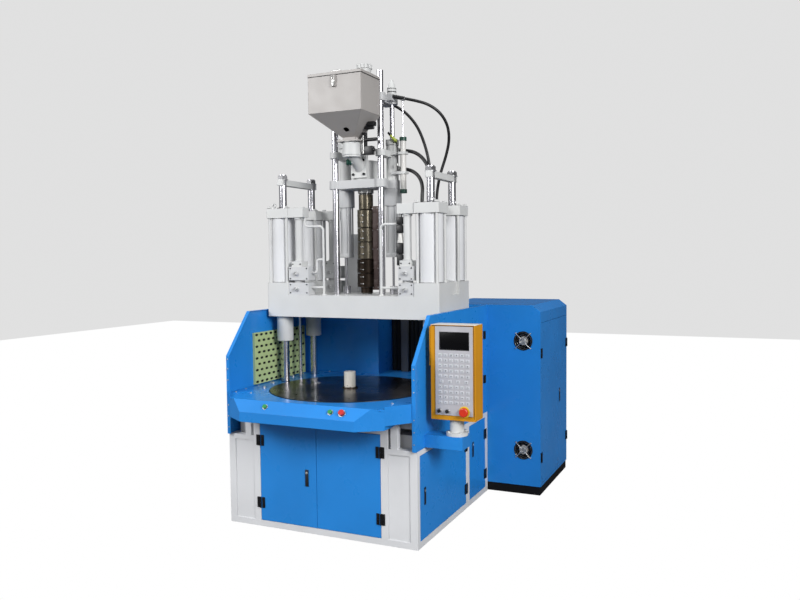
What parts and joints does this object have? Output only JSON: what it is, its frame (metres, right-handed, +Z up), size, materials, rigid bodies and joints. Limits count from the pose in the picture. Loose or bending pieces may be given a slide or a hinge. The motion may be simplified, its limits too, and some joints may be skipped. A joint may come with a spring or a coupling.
{
  "type": "injection moulding machine",
  "caption": "Vertical injection moulding machine with a rotary table, moving platen on tie bars, injection unit and hopper on top, swivelling control panel and electrical cabinet",
  "frame": {"origin": "on the floor, under the middle of the base frame", "axes": "X right, Y from the operator side to the back, Z up along the tie bars"},
  "size_m": [1.937, 2.665, 3.372],
  "materials": {
    "white_paint": "satin",
    "grey_paint": "satin",
    "blue_paint": "gloss",
    "green_paint": "satin",
    "hopper_paint": "satin",
    "black_paint": "satin",
    "ochre_paint": "satin",
    "chrome": "polished",
    "machined_steel": "machined",
    "dark_steel": "oiled",
    "cast_iron": "cast",
    "band_metal": "satin",
    "aluminium": "satin",
    "black_rubber": "matte",
    "black_plastic": "matte",
    "grey_plastic": "matte",
    "green_plastic": "gloss",
    "red_plastic": "gloss"
  },
  "bodies": {
    "frame": {"base_frame": "grey_paint", "lower_platen": "white_paint", "tie_bars": "chrome", "tie_bar_nuts": "machined_steel", "cross_bars": "white_paint", "rapid_rods": "chrome", "front_deck": "blue_paint", "side_guards": "blue_paint", "perforated_panels": "green_paint", "cabinet_shell": "blue_paint", "cabinet_plinth": "black_paint", "electrical_plate": "machined_steel", "fan_frames": "black_plastic", "hinge_leaves": "black_paint", "table_bearing": "cast_iron", "table_motor": "cast_iron", "oil_tank": "blue_paint", "pump_set": "cast_iron", "panel_post": "machined_steel"},
    "table": {"rotary_table": "dark_steel", "centre_post": "machined_steel"},
    "platen": {"upper_platen": "white_paint", "clamp_barrels": "white_paint", "clamp_caps": "white_paint", "tie_bar_sleeves": "white_paint", "valve_blocks": "grey_paint", "oil_pipes": "white_paint", "rapid_cylinders": "white_paint", "guide_columns": "chrome"},
    "carriage": {"carriage_plate": "white_paint", "carriage_cylinders": "grey_paint", "barrel": "machined_steel", "heater_bands": "band_metal", "barrel_head": "white_paint", "hopper": "hopper_paint", "injection_cylinders": "grey_paint", "transducer": "aluminium", "hose_1": "black_rubber", "hose_2": "black_rubber", "hose_3": "black_rubber", "hose_4": "black_rubber"},
    "hopper_lid": {"hopper_lid": "hopper_paint"},
    "injection": {"crosshead": "white_paint", "injection_rods": "chrome", "screw_motor": "white_paint"},
    "screw": {"screw": "machined_steel"},
    "front_door_left": {"front_door_left": "blue_paint"},
    "front_door_right": {"front_door_right": "blue_paint"},
    "side_door_front": {"side_door_front": "blue_paint"},
    "side_door_rear": {"side_door_rear": "blue_paint"},
    "cabinet_door_front": {"cabinet_door_front": "blue_paint"},
    "cabinet_door_rear": {"cabinet_door_rear": "blue_paint"},
    "panel": {"control_panel": "ochre_paint", "keypad_plate": "grey_plastic"},
    "e_stop": {"e_stop": "red_plastic"},
    "start_button_left": {"start_button_left": "green_plastic"},
    "start_button_right": {"start_button_right": "green_plastic"},
    "stop_button": {"stop_button": "red_plastic"},
    "fan_rotor_lower": {"fan_rotor_lower": "black_plastic"},
    "fan_rotor_upper": {"fan_rotor_upper": "black_plastic"}
  },
  "joints": [
    {"name": "platen_slide", "type": "slide", "parent": "frame", "child": "platen", "axis": [0, 0, -1], "range_m": [0, 0.25]},
    {"name": "table_turn", "type": "hinge", "parent": "frame", "child": "table", "pos_m": [0, -0.247, 0.903], "axis": [0, 0, 1], "range_deg": [0, 180]},
    {"name": "carriage_slide", "type": "slide", "parent": "platen", "child": "carriage", "axis": [0, 0, 1], "range_m": [0, 0.06], "deforming": ["hose_3", "hose_4"]},
    {"name": "injection_slide", "type": "slide", "parent": "carriage", "child": "injection", "axis": [0, 0, -1], "range_m": [0, 0.15], "deforming": ["hose_1", "hose_2"]},
    {"name": "screw_turn", "type": "hinge", "parent": "injection", "child": "screw", "pos_m": [0, 0.05, 3], "axis": [0, 0, 1], "continuous": true},
    {"name": "lid_hinge", "type": "hinge", "parent": "carriage", "child": "hopper_lid", "pos_m": [0, -0.114, 3.218], "axis": [-1, 0, 0], "range_deg": [0, 80]},
    {"name": "front_door_left_hinge", "type": "hinge", "parent": "frame", "child": "front_door_left", "pos_m": [-0.4765, -0.726, 0.4], "axis": [0, 0, -1], "range_deg": [0, 110]},
    {"name": "front_door_right_hinge", "type": "hinge", "parent": "frame", "child": "front_door_right", "pos_m": [0.4765, -0.726, 0.4], "axis": [0, 0, 1], "range_deg": [0, 110]},
    {"name": "side_door_front_hinge", "type": "hinge", "parent": "frame", "child": "side_door_front", "pos_m": [0.749, 0.2035, 0.33], "axis": [0, 0, 1], "range_deg": [0, 100]},
    {"name": "side_door_rear_hinge", "type": "hinge", "parent": "frame", "child": "side_door_rear", "pos_m": [0.749, 0.6585, 0.33], "axis": [0, 0, 1], "range_deg": [0, 90]},
    {"name": "cabinet_door_front_hinge", "type": "hinge", "parent": "frame", "child": "cabinet_door_front", "pos_m": [1.188, 0.7475, 0.73], "axis": [0, 0, -1], "range_deg": [0, 110]},
    {"name": "cabinet_door_rear_hinge", "type": "hinge", "parent": "frame", "child": "cabinet_door_rear", "pos_m": [1.188, 1.6355, 0.73], "axis": [0, 0, 1], "range_deg": [0, 110]},
    {"name": "panel_swivel", "type": "hinge", "parent": "frame", "child": "panel", "pos_m": [0.947, -0.5275, 0.85], "axis": [0, 0, 1], "range_deg": [-60, 60]},
    {"name": "e_stop_press", "type": "slide", "parent": "panel", "child": "e_stop", "axis": [0, 1, 0], "range_m": [0, 0.006], "stiffness_N_per_m": 2500, "springref_m": -0.003},
    {"name": "start_button_left_press", "type": "slide", "parent": "frame", "child": "start_button_left", "axis": [0, 0.7665, -0.6422], "range_m": [0, 0.004], "stiffness_N_per_m": 1500, "springref_m": -0.003},
    {"name": "start_button_right_press", "type": "slide", "parent": "frame", "child": "start_button_right", "axis": [0, 0.7665, -0.6422], "range_m": [0, 0.004], "stiffness_N_per_m": 1500, "springref_m": -0.003},
    {"name": "stop_button_press", "type": "slide", "parent": "frame", "child": "stop_button", "axis": [0, 0.7665, -0.6422], "range_m": [0, 0.004], "stiffness_N_per_m": 1500, "springref_m": -0.003},
    {"name": "fan_lower_turn", "type": "hinge", "parent": "frame", "child": "fan_rotor_lower", "pos_m": [1.041, 0.752, 0.357], "axis": [0, 1, 0], "continuous": true},
    {"name": "fan_upper_turn", "type": "hinge", "parent": "frame", "child": "fan_rotor_upper", "pos_m": [1.041, 0.752, 1.236], "axis": [0, 1, 0], "continuous": true}
  ]
}
